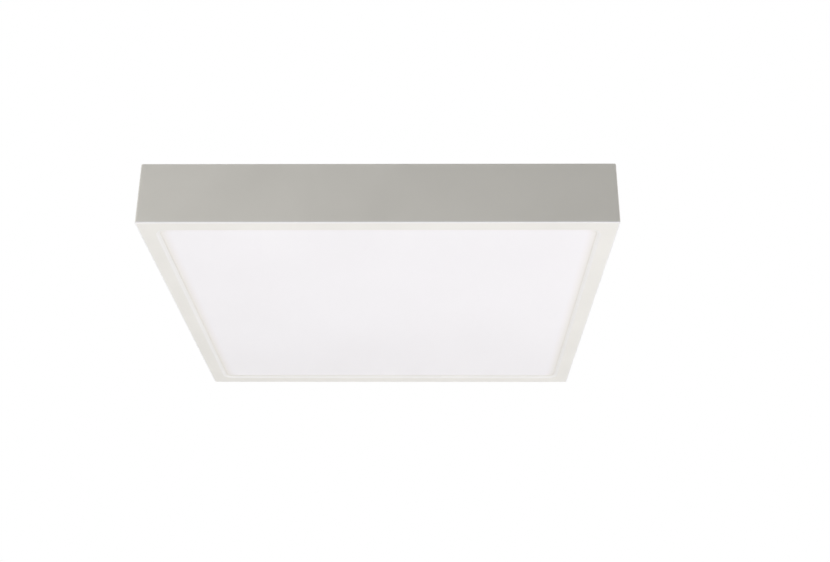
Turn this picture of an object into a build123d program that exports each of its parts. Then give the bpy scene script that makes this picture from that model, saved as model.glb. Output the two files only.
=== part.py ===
from build123d import *
import math
import os

# Square ceiling light: side of the housing, and depth from ceiling to lit face
side = 300.0
height = 42.0
ceiling_gap = 0.5

# Cast housing: outer wall, border of the lit face, ledge that carries the back plate
wall = 2.0
corner_radius = 1.5
rim_radius = 0.8
lip = 10.0
bevel_run = 2.5
bevel_rise = 1.2
bevel_round = 2.0
land = 0.3
window_radius = 5.0
ledge = 5.0

# Sheets behind the window, from the lit face upwards
diffuser_thick = 2.0
guide_thick = 3.0
reflector_thick = 0.4
foam_thick = 3.1
diffuser_corner = 2.0
guide_corner = 8.0
foam_corner = 16.0
foam_relief = 4.0

# Light strips stuck to the inner face of the ledge
tape_thick = 0.2
board_thick = 1.0
board_height = 6.0
board_end_gap = 8.0
led_length = 4.0
led_width = 1.4
led_depth = 0.8
led_pitch = 9.0
led_margin = 2.0
led_gap = 0.2
link_diameter = 0.9
link_spread = 3.0

# Back plate of pressed steel with two stiffening beads
plate_thick = 1.0
plate_clearance = 0.5
bead_length = 190.0
bead_width = 9.0
bead_height = 1.2
bead_slope = 30.0
bead_inset = 30.0

# Screws: a small size for plate and cases, a larger one for the earth point
thread = 2.5
thread_clearance = 0.1
hole_clearance = 0.4
head_diameter = 5.0
head_height = 1.8
head_play = 0.3
recess_width = 0.8
recess_depth = 1.0
plate_screw_length = 6.0
screw_end = 1.4
earth_thread = 4.0
earth_head = 7.6
earth_head_height = 2.6

# Driver case: base tray and lid
driver_y = 62.0
driver_length = 124.0
driver_width = 48.0
driver_height = 21.0
case_wall = 1.6
case_radius = 2.0
base_height = 13.0
lap_height = 1.5
lap_thick = 0.8
lap_clearance = 0.1
ear_length = 12.0
ear_reach = 9.0
ear_thick = 2.5
ear_offset = 48.0
exit_height = 10.0
panel_inset = 7.0
panel_depth = 0.4
panel_radius = 3.0
snap_width = 7.0
snap_depth = 0.6
snap_height = 2.0
snap_drop = 1.0
snap_offset = 38.0

# Driver circuit board and its components
pcb_thick = 1.6
pcb_margin = 1.0
pillar_radius = 2.5
pillar_height = 3.0
pillar_inset = 8.0
core_length = 20.0
core_height = 12.0
core_depth = 6.0
core_leg = 5.0
core_yoke = 2.5
core_side = 3.0
winding_play = 0.2
transformer_spot = (6.0, 0.0)
input_can = 10.0
input_can_height = 12.0
input_can_spot = (-18.0, 4.0)
output_can = 8.0
output_can_height = 11.5
output_can_inset = 28.0
output_can_spot = (driver_length / 2 - output_can_inset, -6.0)
can_round = 0.6
film_length = 13.0
film_width = 6.0
film_height = 11.0
film_inset = 24.0
film_edge = 12.0
film_spot = (film_inset - driver_length / 2, driver_width / 2 - film_edge)
choke_diameter = 9.0
choke_height = 11.0
choke_flange = 1.2
choke_waist = 0.8
choke_inset = 24.0
choke_spot = (choke_inset - driver_length / 2, -4.0)
fuse_length = 10.0
fuse_diameter = 3.6
fuse_cap = 2.0
fuse_cap_step = 0.2
fuse_edge = 11.0
fuse_spot = (-20.0, fuse_edge - driver_width / 2)
chip_length = 5.0
chip_width = 4.0
chip_height = 1.6
chip_edge = 14.0
chip_spot = (24.0, driver_width / 2 - chip_edge)

# Push-wire terminal block with three poles
terminal_x = -40.0
terminal_y = -58.0
pole_count = 3
pole_pitch = 10.0
terminal_cheek = 1.5
terminal_depth = 20.0
terminal_height = 16.0
terminal_ear = 8.0
terminal_ear_thick = 2.5
terminal_floor = 2.0
cell_width = 6.0
cell_depth = 8.0
entry_size = 5.0
entry_height = 7.0
button_play = 0.2
button_length = 8.0
button_rise = 2.0
button_slot = 1.0
clamp_thick = 0.5
clamp_play = 0.2
clamp_height = 4.5

# Leads inside the lamp
lead_diameter = 2.2
thin_lead = 1.2
lead_clearance = 0.1
arc_share = 0.45
clip_length = 8.0
clip_height = 5.2
clip_cheek = 3.0
clip_axis = 2.6
live_gap = 13.0
neutral_gap = 9.0
input_clip_y = 14.0
output_inset = 20.5
output_pitch = 2.5
output_clip_y = 90.0
lead_row_pitch = 4.0

# Earth point on the back plate
earth_x = 8.0
earth_y = -40.0
lug_thick = 0.8
lug_diameter = 8.6
barrel_diameter = 3.4
barrel_length = 8.0
washer_thick = 0.5
washer_diameter = 8.0
washer_teeth = 10
washer_notch = 0.8

# Grommet that passes the output leads through the back plate
grommet_setback = 5.2
grommet_hole = 6.5
grommet_flange = 9.0
grommet_bore = 4.6
grommet_low = 1.0
grommet_high = 1.5
pair_offset = 0.75

# Ceiling bracket: a strap with a lowered middle and two down-turned flanges
strap_thick = 1.5
strap_width = 44.0
strap_bend = 1.0
flange_inset = 38.0
flange_depth = 21.0
dish_half = 20.0
dish_run = 6.0
dish_depth = 4.0
slot_spacing = 120.0
slot_length = 24.0
slot_width = 5.0
catch_width = 13.0
catch_height = 12.0
catch_top = 5.6
strap_corner = 3.0

# Rubber grommet for the supply cable in the middle of the bracket
cable_hole = 16.0
cable_bore = 11.0
cable_flange = 20.0
cable_flange_thick = 1.4

# Leaf spring clips that hang the lamp on the bracket
leaf_thick = 0.6
leaf_width = 12.0
leaf_bend = 0.8
leaf_gap = 0.3
leaf_top = 3.5
nose_reach = 3.0
nose_start = 0.4
nose_rise = 6.4
nose_fall = 4.2
tail_flare = 0.9
foot_length = 16.5
rivet_diameter = 3.0
rivet_head = 5.0
rivet_head_height = 1.2
rivet_tail = 4.2
rivet_tail_height = 1.2
rivet_first = 5.0
rivet_pitch = 7.0

# Heights and half-widths that follow from the sizes above
half = side / 2
face_z = -height
rim_z = -ceiling_gap
lip_top = face_z + bevel_rise + land
guide_low = lip_top + diffuser_thick
reflector_low = guide_low + guide_thick
foam_low = reflector_low + reflector_thick
plate_low = foam_low + foam_thick
plate_top = plate_low + plate_thick
guide_mid = guide_low + guide_thick / 2
window_half = half - lip - bevel_run
rib_half = half - wall - ledge
board_face = rib_half - tape_thick - board_thick
board_mid = rib_half - tape_thick - board_thick / 2
board_end = rib_half - board_end_gap
sheet_half = board_face - led_depth - led_gap
plate_half = half - wall - plate_clearance
screw_line = half - wall - head_diameter / 2 - head_play
flange_out = half - flange_inset
leaf_mid = flange_out + leaf_gap + leaf_thick / 2
grommet_at = rib_half - grommet_setback
output_column = half - output_inset
live_column = -driver_length / 2 - live_gap
neutral_column = -driver_length / 2 - neutral_gap
quarter_turns = {"right": 0, "rear": 90, "left": 180, "front": 270}
plate_screws = [(x, y) for x in (-1, 0, 1) for y in (-1, 0, 1) if (x, y) != (0, 0)]
plate_points = [(x * screw_line, y * screw_line) for x, y in plate_screws]
rivet_xs = [leaf_mid + rivet_first, leaf_mid + rivet_first + rivet_pitch]
rivet_points = [(way * x, 0) for way in (-1, 1) for x in rivet_xs]
ear_front = driver_y - driver_width / 2 - ear_reach / 2
ear_rear = driver_y + driver_width / 2 + ear_reach / 2
driver_points = [(-ear_offset, ear_front), (ear_offset, ear_rear)]
terminal_width = pole_count * pole_pitch + 2 * terminal_cheek
ear_x = terminal_width / 2 + terminal_ear / 2
terminal_points = [(terminal_x - ear_x, terminal_y), (terminal_x + ear_x, terminal_y)]
pole_xs = [terminal_x + (i - (pole_count - 1) / 2) * pole_pitch for i in range(pole_count)]


def slab(width, depth, low, high, radius=0.0):
    """Block centred on the Z axis between two heights, with upright edges rounded by radius."""
    outline = RectangleRounded(width, depth, radius) if radius else Rectangle(width, depth)
    return extrude(Pos(0, 0, low) * outline, high - low)


def rod(radius, low, high, x=0.0, y=0.0):
    """Upright cylinder between two heights."""
    return extrude(Pos(x, y, low) * Circle(radius), high - low)


def holes(points, radius, low, high):
    """Upright cylinders at each point."""
    return Compound([rod(radius, low, high, x, y).solid() for x, y in points])


def at_points(piece, points, z):
    """One copy of a piece at each point, at height z."""
    return Compound([(Pos(x, y, z) * piece).solid() for x, y in points])


def ring(outer, inner, low, high):
    """Upright tube between two heights."""
    return rod(outer, low, high) - rod(inner, low, high)


def cut_square(half_width, corner, low, high):
    """Square sheet with its four corners cut straight."""
    sheet = slab(2 * half_width, 2 * half_width, low, high)
    return chamfer(sheet.edges().filter_by(Axis.Z), corner)


def pan_screw(length, shank=thread, wide=head_diameter, tall=head_height):
    """Pan-head screw with a cross recess; its head stands on z = 0 and its thread points down."""
    head = rod(wide / 2, 0, tall)
    head = fillet(head.edges().group_by(Axis.Z)[-1], tall * 0.45)
    blade = slab(wide * 0.6, recess_width, tall - recess_depth, tall)
    return head + rod(shank / 2, -length, 0) - blade - Rot(0, 0, 90) * blade


def bent_strip(points, thick, width, bend):
    """Sheet strip of constant thickness along points in the XZ plane, with rounded bends."""
    runs = [Vector(*b) - Vector(*a) for a, b in zip(points, points[1:])]
    normals = [Vector(-r.Y, r.X).normalized() for r in runs]
    shifts = [normals[0]]
    shifts += [(a + b) / (1 + a.dot(b)) for a, b in zip(normals, normals[1:])]
    shifts += [normals[-1]]
    turns = [a.cross(b).Z for a, b in zip(runs, runs[1:])]
    edges = []
    for way in (1, -1):
        line = [Vector(*p) + s * (way * thick / 2) for p, s in zip(points, shifts)]
        radii = [bend if turn * way > 0 else bend + thick for turn in turns]
        edges.append(FilletPolyline(*line, radius=radii))
    caps = [Line(edges[0] @ 0, edges[1] @ 0), Line(edges[0] @ 1, edges[1] @ 1)]
    face = make_face(edges[0].edges() + edges[1].edges() + [c.edge() for c in caps])
    return extrude(Plane.XZ * face, width / 2, both=True)


def lead(points, diameter):
    """Round lead through its points: straight runs joined by the widest arcs that fit."""
    spots = [Vector(*p) for p in points]
    runs = [b - a for a, b in zip(spots, spots[1:])]
    radii = []
    for a, b in zip(runs, runs[1:]):
        half_turn = math.radians(a.get_angle(b)) / 2
        radii.append(arc_share * min(a.length, b.length) / math.tan(half_turn))
    path = FilletPolyline(*spots, radius=radii)
    section = Plane(origin=spots[0], z_dir=runs[0]) * Circle(diameter / 2)
    tube = sweep(section, path=path.wire())
    share = tube.volume / (math.pi * diameter**2 / 4 * path.length)
    print("lead", round(path.length, 1), "mm, radii", [round(r, 1) for r in radii], round(share, 4))
    return tube


def housing():
    """Square casting: wall, border with bevelled window, and the ledge with its screw holes."""
    body = slab(side, side, face_z, rim_z, corner_radius)
    body = fillet(body.edges().group_by(Axis.Z)[0], rim_radius)
    room = side - 2 * wall
    body -= slab(room, room, plate_low, rim_z)
    body -= slab(2 * rib_half, 2 * rib_half, lip_top, plate_low)
    body -= slab(2 * window_half, 2 * window_half, face_z, lip_top, window_radius)
    wide = window_half + bevel_run
    mouth = Pos(0, 0, face_z) * RectangleRounded(2 * wide, 2 * wide, window_radius + bevel_run)
    throat = RectangleRounded(2 * window_half, 2 * window_half, window_radius)
    body -= loft([mouth, Pos(0, 0, face_z + bevel_rise) * throat], ruled=True)
    face_edges = body.edges().group_by(Axis.Z)[0]
    inner = [e for e in face_edges if max(abs(e.center().X), abs(e.center().Y)) < half - lip / 2]
    body = fillet(inner, bevel_round)
    bore = (thread + thread_clearance) / 2
    return body - holes(plate_points, bore, plate_low - plate_screw_length, plate_low)


def back_plate():
    """Pressed steel plate with beads, screw holes and the hole for the output leads."""
    plate = slab(2 * plate_half, 2 * plate_half, plate_low, plate_top)
    bead = extrude(SlotOverall(bead_length, bead_width), bead_height, taper=bead_slope)
    for way in (-1, 1):
        spot = Pos(0, way * (plate_half - bead_inset), 0)
        plate += spot * Pos(0, 0, plate_top) * bead
        plate -= spot * Pos(0, 0, plate_low) * bead
    plate -= holes(plate_points, (thread + hole_clearance) / 2, plate_low, plate_top)
    tapped = driver_points + terminal_points
    plate -= holes(tapped, (thread + thread_clearance) / 2, plate_low, plate_top)
    plate -= rod((earth_thread + thread_clearance) / 2, plate_low, plate_top, earth_x, earth_y)
    plate -= holes(rivet_points, (rivet_diameter + thread_clearance) / 2, plate_low, plate_top)
    return plate - rod(grommet_hole / 2, plate_low, plate_top, grommet_at, grommet_at)


def foam_pad():
    """Foam sheet that presses the light guide down, pierced where fasteners come through."""
    pad = cut_square(sheet_half, foam_corner, foam_low, plate_low)
    points = driver_points + terminal_points + rivet_points + [(earth_x, earth_y)]
    return pad - holes(points, foam_relief, foam_low, plate_low)


def light_strip():
    """Board of one side, in the place of the right-hand strip."""
    low = guide_mid - board_height / 2
    return Pos(board_mid, 0, low) * slab(board_thick, 2 * board_end, 0, board_height)


def light_chips():
    """Row of light-emitting chips on the right-hand board."""
    count = int((2 * board_end - 2 * led_margin - led_length) / led_pitch) + 1
    x = board_face - led_depth / 2
    chip = slab(led_depth, led_length, guide_mid - led_width / 2, guide_mid + led_width / 2)
    ys = [(i - (count - 1) / 2) * led_pitch for i in range(count)]
    return Compound([(Pos(x, y, 0) * chip).solid() for y in ys])


def thermal_tapes():
    """Four strips of heat-conducting tape between the boards and the ledge."""
    low = guide_mid - board_height / 2
    tape = Pos(rib_half - tape_thick / 2, 0, low) * slab(tape_thick, 2 * board_end, 0, board_height)
    return Compound([(Rot(0, 0, turn) * tape).solid() for turn in quarter_turns.values()])


def board_links():
    """Pairs of short wires that join neighbouring boards at three corners."""
    links = []
    for turn in (90, 180, 270):
        for way in (-1, 1):
            z = guide_mid + way * link_spread / 2
            spots = [(board_mid, board_end, z), (board_mid, board_mid, z), (board_end, board_mid, z)]
            links.append((Rot(0, 0, turn) * lead(spots, link_diameter)).solid())
    return Compound(links)


def driver_base():
    """Tray of the driver case with pillars, fixing ears and lead holes."""
    low = plate_top
    high = plate_top + base_height
    tray = slab(driver_length, driver_width, low, high, case_radius)
    tray -= slab(driver_length - 2 * case_wall, driver_width - 2 * case_wall, low + case_wall, high)
    inset_x = driver_length / 2 - pillar_inset
    inset_y = driver_width / 2 - pillar_inset
    for x, y in ((-inset_x, -inset_y), (-inset_x, inset_y), (inset_x, -inset_y), (inset_x, inset_y)):
        tray += rod(pillar_radius, low, low + case_wall + pillar_height, x, y)
    for x, y in driver_points:
        ear = slab(ear_length, ear_reach, low, low + ear_thick)
        tray += Pos(x, y - driver_y, 0) * ear
        tray -= rod((thread + hole_clearance) / 2, low, low + ear_thick, x, y - driver_y)
    snap = Box(snap_width, 2 * snap_depth, snap_height)
    snap_z = high - snap_drop - snap_height / 2
    for x in (-snap_offset, 0, snap_offset):
        for way in (-1, 1):
            tray -= Pos(x, way * driver_width / 2, snap_z) * snap
    z = plate_top + exit_height
    for way, diameter in ((-1, lead_diameter), (1, thin_lead)):
        for row in (-1, 1):
            bore = Rot(0, 90, 0) * Cylinder(diameter / 2 + lead_clearance, 4 * case_wall)
            tray -= Pos(way * driver_length / 2, row * lead_row_pitch / 2, z) * bore
    return Pos(0, driver_y, 0) * tray


def driver_lid():
    """Cap of the driver case; its lap fits inside the tray's wall."""
    low = plate_top + base_height
    high = plate_top + driver_height
    cap = slab(driver_length, driver_width, low, high, case_radius)
    cap = fillet(cap.edges().group_by(Axis.Z)[-1], case_radius / 2)
    inner_x = driver_length - 2 * case_wall
    inner_y = driver_width - 2 * case_wall
    lap_x = inner_x - 2 * lap_clearance
    lap_y = inner_y - 2 * lap_clearance
    cap += slab(lap_x, lap_y, low - lap_height, low)
    room_x = lap_x - 2 * lap_thick
    room_y = lap_y - 2 * lap_thick
    cap -= slab(room_x, room_y, low - lap_height, high - case_wall)
    panel_x = driver_length - 2 * panel_inset
    panel_y = driver_width - 2 * panel_inset
    cap -= slab(panel_x, panel_y, high - panel_depth, high, panel_radius)
    return Pos(0, driver_y, 0) * cap


pcb_low = plate_top + case_wall + pillar_height
pcb_top = pcb_low + pcb_thick
pcb_length = driver_length - 2 * case_wall - 2 * pcb_margin
pcb_width = driver_width - 2 * case_wall - 2 * pcb_margin


def on_board(piece, x, y):
    """Place a component, modelled on z = 0, on the driver's circuit board."""
    return Pos(x, driver_y + y, pcb_top) * piece


def transformer_core():
    """Ferrite core: a frame with a middle leg."""
    frame = Rectangle(core_length, core_height)
    gap = (core_length - core_leg - 2 * core_side) / 2
    for way in (-1, 1):
        frame -= Pos(way * (core_leg + gap) / 2, 0) * Rectangle(gap, core_height - 2 * core_yoke)
    return Pos(0, 0, core_height / 2) * extrude(Plane.XZ * frame, core_depth / 2, both=True)


def transformer_winding():
    """Taped winding round the middle leg."""
    gap = (core_length - core_leg - 2 * core_side) / 2
    inner_x = core_leg + 2 * winding_play
    inner_y = core_depth + 2 * winding_play
    build = gap - 2 * winding_play
    low = core_yoke + winding_play
    high = core_height - core_yoke - winding_play
    coil = slab(inner_x + 2 * build, inner_y + 2 * build, low, high, build / 2)
    return coil - slab(inner_x, inner_y, low, high)


def capacitor_can(diameter, tall):
    """Electrolytic capacitor: a can with rounded rims and a crimp near its foot."""
    can = rod(diameter / 2, 0, tall)
    can = fillet(can.edges().filter_by(GeomType.CIRCLE), can_round)
    return can - ring(diameter, diameter / 2 - can_round / 2, 2 * can_round, 3 * can_round)


def line_choke():
    """Choke wound on a flanged bobbin."""
    bobbin = rod(choke_diameter / 2, 0, choke_flange)
    bobbin += rod(choke_diameter / 2 - choke_waist, choke_flange, choke_height - choke_flange)
    return bobbin + rod(choke_diameter / 2, choke_height - choke_flange, choke_height)


def driver_fuse():
    """Fuse lying on the board, with an end cap at each side."""
    body = Cylinder(fuse_diameter / 2, fuse_length)
    for way in (-1, 1):
        z = way * (fuse_length - fuse_cap) / 2
        body += Pos(0, 0, z) * Cylinder(fuse_diameter / 2 + fuse_cap_step, fuse_cap)
    return Pos(0, 0, fuse_diameter / 2 + fuse_cap_step) * Rot(0, 90, 0) * body


def terminal_body():
    """Block with a cell, a square wire entry and a lead hole for each pole, and two ears."""
    low = plate_top
    high = plate_top + terminal_height
    block = slab(terminal_width, terminal_depth, low, high)
    block = fillet(block.edges().group_by(Axis.Z)[-1], terminal_cheek / 3)
    ears = slab(terminal_width + 2 * terminal_ear, terminal_ear, low, low + terminal_ear_thick)
    block += fillet(ears.edges().filter_by(Axis.Z), terminal_ear / 3)
    z = low + entry_height
    for x in pole_xs:
        at = x - terminal_x
        block -= Pos(at, 0, 0) * slab(cell_width, cell_depth, low + terminal_floor, high)
        entry = Rectangle(entry_size, entry_size)
        block -= extrude(Plane.XZ.offset(cell_depth / 2) * Pos(at, z) * entry, terminal_depth)
        bore = Circle(lead_diameter / 2 + lead_clearance)
        block -= extrude(Plane.XZ.offset(-cell_depth / 2) * Pos(at, z) * bore, -terminal_depth)
    for way in (-1, 1):
        block -= rod((thread + hole_clearance) / 2, low, low + terminal_ear_thick, way * ear_x)
    return Pos(terminal_x, terminal_y, 0) * block


def terminal_clamps():
    """Bent metal contacts, one on the floor of each cell."""
    width = cell_width - 2 * clamp_play
    depth = cell_depth - 2 * clamp_play
    foot = slab(width, depth, 0, clamp_thick)
    wing = Pos(0, (depth - clamp_thick) / 2, 0) * slab(width, clamp_thick, 0, clamp_height)
    bore = Rot(90, 0, 0) * Cylinder(lead_diameter / 2, 2 * cell_depth)
    clamp = foot + wing - Pos(0, 0, entry_height - terminal_floor) * bore
    return at_points(clamp, [(x, terminal_y) for x in pole_xs], plate_top + terminal_floor)


def release_button(x):
    """Push button of one pole with a screwdriver slot on top."""
    high = plate_top + terminal_height + button_rise
    width = cell_width - 2 * button_play
    depth = cell_depth - 2 * button_play
    button = slab(width, depth, high - button_length, high)
    button = chamfer(button.edges().group_by(Axis.Z)[-1], button_slot / 3)
    button -= slab(width, button_slot, high - button_slot, high)
    return Pos(x, terminal_y, 0) * button


def lead_clip(pitch, diameter):
    """Moulded saddle with two lead channels along Y, standing on z = 0."""
    width = pitch + diameter + 2 * clip_cheek
    saddle = slab(width, clip_length, 0, clip_height)
    saddle = fillet(saddle.edges().filter_by(Axis.Y).group_by(Axis.Z)[-1], clip_cheek * 0.6)
    for way in (-1, 1):
        bore = Rot(90, 0, 0) * Cylinder(diameter / 2 + lead_clearance, 2 * clip_length)
        saddle -= Pos(way * pitch / 2, 0, clip_axis) * bore
    return saddle


def earth_lug():
    """Ring lug with a crimp barrel towards -X, lying on the back plate."""
    axis = barrel_diameter / 2
    lug = rod(lug_diameter / 2, 0, lug_thick)
    neck = lug_diameter / 2 + barrel_length / 2
    lug += Pos(-neck / 2, 0, 0) * slab(neck, barrel_diameter, 0, lug_thick)
    barrel = Rot(0, 90, 0) * Cylinder(barrel_diameter / 2, barrel_length)
    bore = Rot(0, 90, 0) * Cylinder(lead_diameter / 2 + lead_clearance, 2 * barrel_length)
    spot = Pos(-lug_diameter / 2 - barrel_length / 2, 0, axis)
    lug += spot * barrel
    lug -= Pos(-lug_diameter / 2 - barrel_length, 0, axis) * bore
    return lug - rod((earth_thread + hole_clearance) / 2, 0, lug_thick)


def earth_washer():
    """Toothed lock washer."""
    points = []
    for i in range(2 * washer_teeth):
        reach = washer_diameter / 2 - (washer_notch if i % 2 else 0)
        angle = math.pi * i / washer_teeth
        points.append((reach * math.cos(angle), reach * math.sin(angle)))
    star = make_face(Polyline(*points, close=True).edges())
    return extrude(star, washer_thick) - rod((earth_thread + hole_clearance) / 2, 0, washer_thick)


def lead_grommet():
    """Grommet in the back plate; its groove takes the edge of the hole."""
    soft = ring(grommet_flange / 2, grommet_bore / 2, plate_low - grommet_low, plate_low)
    soft += ring(grommet_hole / 2, grommet_bore / 2, plate_low, plate_top)
    soft += ring(grommet_flange / 2, grommet_bore / 2, plate_top, plate_top + grommet_high)
    return Pos(grommet_at, grommet_at, 0) * soft


def input_lead(pole, column, row):
    """Lead from the back of a terminal pole, through the clip, into the left end of the driver."""
    start_z = plate_top + entry_height
    clip_z = plate_top + clip_axis
    end_z = plate_top + exit_height
    back = terminal_y + cell_depth / 2
    turn = terminal_y + terminal_depth / 2 + lead_row_pitch * (2 + pole)
    row_y = driver_y + row * lead_row_pitch / 2
    spots = [
        (pole_xs[pole], back, start_z),
        (pole_xs[pole], turn, start_z),
        (column, turn + 26, clip_z),
        (column, input_clip_y + 18, clip_z),
        (column, row_y, end_z),
        (-driver_length / 2 + case_wall, row_y, end_z),
    ]
    return lead(spots, lead_diameter)


def earth_lead():
    """Lead from the back of the third pole into the barrel of the earth lug."""
    start_z = plate_top + entry_height
    axis_z = plate_top + barrel_diameter / 2
    mouth = earth_x - lug_diameter / 2 - barrel_length
    back = terminal_y + cell_depth / 2
    spots = [
        (pole_xs[2], back, start_z),
        (pole_xs[2], earth_y, start_z),
        (mouth - 10, earth_y, axis_z),
        (mouth + barrel_length / 2, earth_y, axis_z),
    ]
    return lead(spots, lead_diameter)


def output_lead(way):
    """Lead from the right end of the driver, through clip and grommet, to the end of a board."""
    start_z = plate_top + exit_height
    clip_z = plate_top + clip_axis
    row_y = driver_y - way * lead_row_pitch / 2
    column = output_column + (output_pitch if way > 0 else 0)
    near = grommet_at + way * pair_offset
    far = grommet_at - way * pair_offset
    spots = [
        (driver_length / 2 - case_wall, row_y, start_z),
        (driver_length / 2 + 10, row_y, start_z),
        (driver_length / 2 + 28, row_y, clip_z),
        (column, row_y, clip_z),
        (column, output_clip_y + 21 - way, clip_z),
        (near - 2.5, far - 10, plate_top + 9),
        (near, far, plate_top + 7.5),
        (near, far, guide_mid),
    ]
    if way > 0:
        spots += [(board_mid, far, guide_mid), (board_mid, board_end, guide_mid)]
    else:
        spots += [(near, board_mid, guide_mid), (board_end, board_mid, guide_mid)]
    return lead(spots, thin_lead)


def mounting_bracket():
    """Steel strap screwed to the ceiling, with slots, cable hole and a catch in each flange."""
    top = -strap_thick / 2
    reach = flange_out - strap_thick / 2
    right = [
        (dish_half, top - dish_depth),
        (dish_half + dish_run, top),
        (reach, top),
        (reach, -flange_depth),
    ]
    left = [(-x, z) for x, z in reversed(right)]
    strap = bent_strip(left + right, strap_thick, strap_width, strap_bend)
    low_corners = strap.edges().filter_by(Axis.X).group_by(Axis.Z)[0]
    strap = fillet(low_corners, strap_corner)
    for way in (-1, 1):
        slot = SlotOverall(slot_length, slot_width)
        strap -= extrude(Pos(way * slot_spacing / 2, 0, -strap_thick) * slot, strap_thick)
        catch = Box(4 * strap_thick, catch_width, catch_height)
        strap -= Pos(way * reach, 0, -catch_top - catch_height / 2) * catch
    return strap - rod(cable_hole / 2, -strap_thick - dish_depth, -dish_depth)


def cable_grommet():
    """Rubber grommet in the lowered middle of the bracket."""
    low = -strap_thick - dish_depth
    soft = ring(cable_flange / 2, cable_bore / 2, low - cable_flange_thick, low)
    soft += ring(cable_hole / 2, cable_bore / 2, low, -dish_depth)
    return soft + ring(cable_flange / 2, cable_bore / 2, -dish_depth, -dish_depth + cable_flange_thick)


def leaf_clip():
    """Right-hand spring clip: riveted foot, upright leaf and a nose through the bracket's catch."""
    foot_z = plate_top + leaf_thick / 2
    sill = -catch_top - catch_height + nose_start
    points = [
        (leaf_mid + foot_length, foot_z),
        (leaf_mid, foot_z),
        (leaf_mid, sill),
        (leaf_mid - nose_reach, sill + nose_rise),
        (leaf_mid, sill + nose_rise + nose_fall),
        (leaf_mid + tail_flare, -leaf_top),
    ]
    clip = bent_strip(points, leaf_thick, leaf_width, leaf_bend)
    bores = [(x, 0) for x in rivet_xs]
    return clip - holes(bores, (rivet_diameter + thread_clearance) / 2, plate_top, plate_top + leaf_thick)


def clip_rivets():
    """Blind rivets through clip foot and back plate."""
    head = rod(rivet_head / 2, leaf_thick, leaf_thick + rivet_head_height)
    head = fillet(head.edges().group_by(Axis.Z)[-1], rivet_head_height * 0.8)
    rivet = head + rod(rivet_diameter / 2, -plate_thick, leaf_thick)
    rivet += rod(rivet_tail / 2, -plate_thick - rivet_tail_height, -plate_thick)
    return at_points(rivet, rivet_points, plate_top)


earth_stack = lug_thick + washer_thick
earth_screw = pan_screw(earth_stack + plate_thick + screw_end, earth_thread, earth_head, earth_head_height)
driver_screw = pan_screw(ear_thick + plate_thick + screw_end)
terminal_screw = pan_screw(terminal_ear_thick + plate_thick + screw_end)
input_clip_spot = Pos((live_column + neutral_column) / 2, input_clip_y, plate_top)
output_clip_spot = Pos(output_column + output_pitch / 2, output_clip_y, plate_top)
clip_right = leaf_clip()
nodes = {
    "housing": housing(),
    "diffuser": cut_square(sheet_half, diffuser_corner, lip_top, guide_low),
    "light_guide": cut_square(sheet_half, guide_corner, guide_low, reflector_low),
    "reflector_sheet": cut_square(sheet_half, guide_corner, reflector_low, foam_low),
    "foam_pad": foam_pad(),
    "back_plate": back_plate(),
    "back_plate_screws": at_points(pan_screw(plate_screw_length), plate_points, plate_top),
    "thermal_tapes": thermal_tapes(),
    "board_links": board_links(),
    "driver_base": driver_base(),
    "driver_lid": driver_lid(),
    "driver_board": Pos(0, driver_y, 0) * slab(pcb_length, pcb_width, pcb_low, pcb_top),
    "transformer_core": on_board(transformer_core(), *transformer_spot),
    "transformer_winding": on_board(transformer_winding(), *transformer_spot),
    "input_capacitor": on_board(capacitor_can(input_can, input_can_height), *input_can_spot),
    "output_capacitor": on_board(capacitor_can(output_can, output_can_height), *output_can_spot),
    "suppression_capacitor": on_board(slab(film_length, film_width, 0, film_height, can_round), *film_spot),
    "line_choke": on_board(line_choke(), *choke_spot),
    "driver_fuse": on_board(driver_fuse(), *fuse_spot),
    "controller_chip": on_board(slab(chip_length, chip_width, 0, chip_height), *chip_spot),
    "driver_screws": at_points(driver_screw, driver_points, plate_top + ear_thick),
    "terminal_body": terminal_body(),
    "terminal_clamps": terminal_clamps(),
    "button_live": release_button(pole_xs[0]),
    "button_neutral": release_button(pole_xs[1]),
    "button_earth": release_button(pole_xs[2]),
    "terminal_screws": at_points(terminal_screw, terminal_points, plate_top + terminal_ear_thick),
    "live_lead": input_lead(0, live_column, 1),
    "neutral_lead": input_lead(1, neutral_column, -1),
    "earth_lead": earth_lead(),
    "earth_lug": Pos(earth_x, earth_y, plate_top) * earth_lug(),
    "earth_washer": Pos(earth_x, earth_y, plate_top + lug_thick) * earth_washer(),
    "earth_screw": Pos(earth_x, earth_y, plate_top + earth_stack) * earth_screw,
    "output_lead_positive": output_lead(1),
    "output_lead_negative": output_lead(-1),
    "lead_grommet": lead_grommet(),
    "input_lead_clip": input_clip_spot * lead_clip(neutral_column - live_column, lead_diameter),
    "output_lead_clip": output_clip_spot * lead_clip(output_pitch, thin_lead),
    "mounting_bracket": mounting_bracket(),
    "cable_grommet": cable_grommet(),
    "clip_right": clip_right,
    "clip_left": Rot(0, 0, 180) * clip_right,
    "clip_rivets": clip_rivets(),
}
for name, turn in quarter_turns.items():
    nodes["led_board_" + name] = Rot(0, 0, turn) * light_strip()
    nodes["leds_" + name] = Rot(0, 0, turn) * light_chips()

os.makedirs("parts", exist_ok=True)
for name, shape in nodes.items():
    export_step(shape, "parts/" + name + ".step")
print(len(nodes), "nodes written")
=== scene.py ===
import bpy
import math
import numpy as np
from mathutils import Matrix, Vector


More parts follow.
